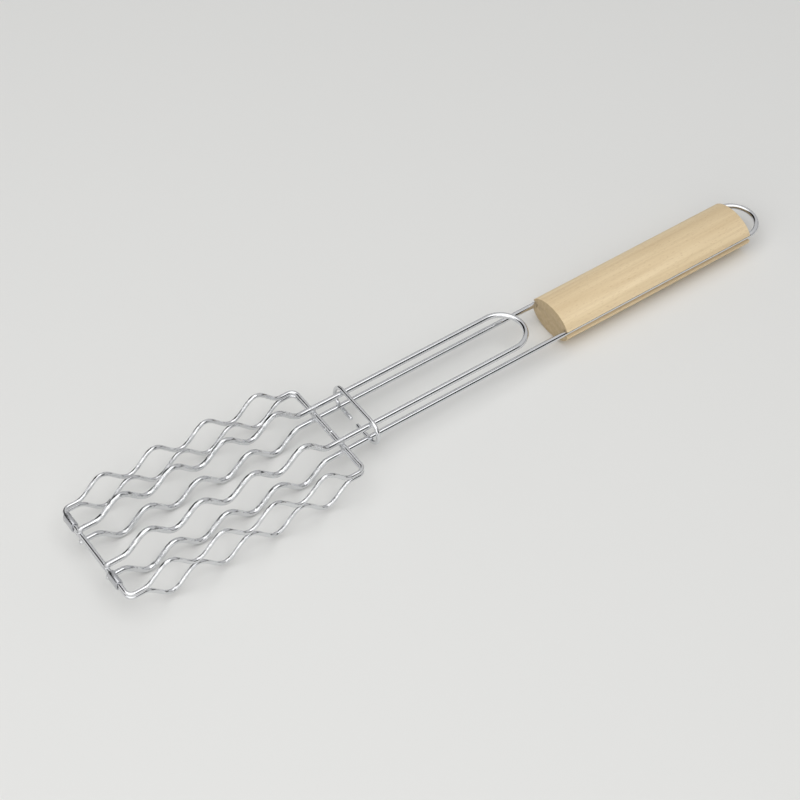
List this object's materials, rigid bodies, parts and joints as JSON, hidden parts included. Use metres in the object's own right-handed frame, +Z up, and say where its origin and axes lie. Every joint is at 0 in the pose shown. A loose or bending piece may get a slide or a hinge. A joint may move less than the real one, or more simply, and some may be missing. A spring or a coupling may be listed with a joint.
{
  "type": "sausage grilling basket",
  "caption": "Long-handled wire basket that clamps sausages between hinged wavy grilles, locked by a sliding ring, with a wooden handle and a hanging loop.",
  "frame": {"origin": "middle of the closed basket's box, on the surface that it lies on", "axes": "+X from the hinge towards the hanging loop, +Y across the basket towards the far side, +Z up"},
  "size_m": [0.5606, 0.0884, 0.0395],
  "materials": {
    "chrome_wire": "bright plated wire with faint drawing lines",
    "clip_steel": "plated sheet, bent and left satin",
    "beech": "turned and sanded, left bare"
  },
  "bodies": {
    "lower_grille": {"lower_frame": "chrome_wire", "lower_handle_wire": "chrome_wire", "wooden_handle": "beech"},
    "hinge_clips": {"hinge_clip_far": "clip_steel", "hinge_clip_near": "clip_steel"},
    "upper_grille": {"upper_frame": "chrome_wire", "upper_handle_wire": "chrome_wire"},
    "lock_ring": {"lock_ring": "chrome_wire"}
  },
  "joints": [
    {"name": "hinge_clips_swing", "type": "hinge", "parent": "lower_grille", "child": "hinge_clips", "pos_m": [-0.27771, 0, 0.01812], "axis": [0, -1, 0], "range_deg": [0, 88]},
    {"name": "upper_grille_opening", "type": "hinge", "parent": "hinge_clips", "child": "upper_grille", "pos_m": [-0.27771, 0, 0.02142], "axis": [0, -1, 0], "range_deg": [0, 88]},
    {"name": "lock_ring_slide", "type": "slide", "parent": "lower_grille", "child": "lock_ring", "axis": [1, 0, 0], "range_m": [-0.019, 0.1625]}
  ],
  "couplings": [
    {"joint": "hinge_clips_swing", "follows": "upper_grille_opening", "ratio": 1}
  ]
}
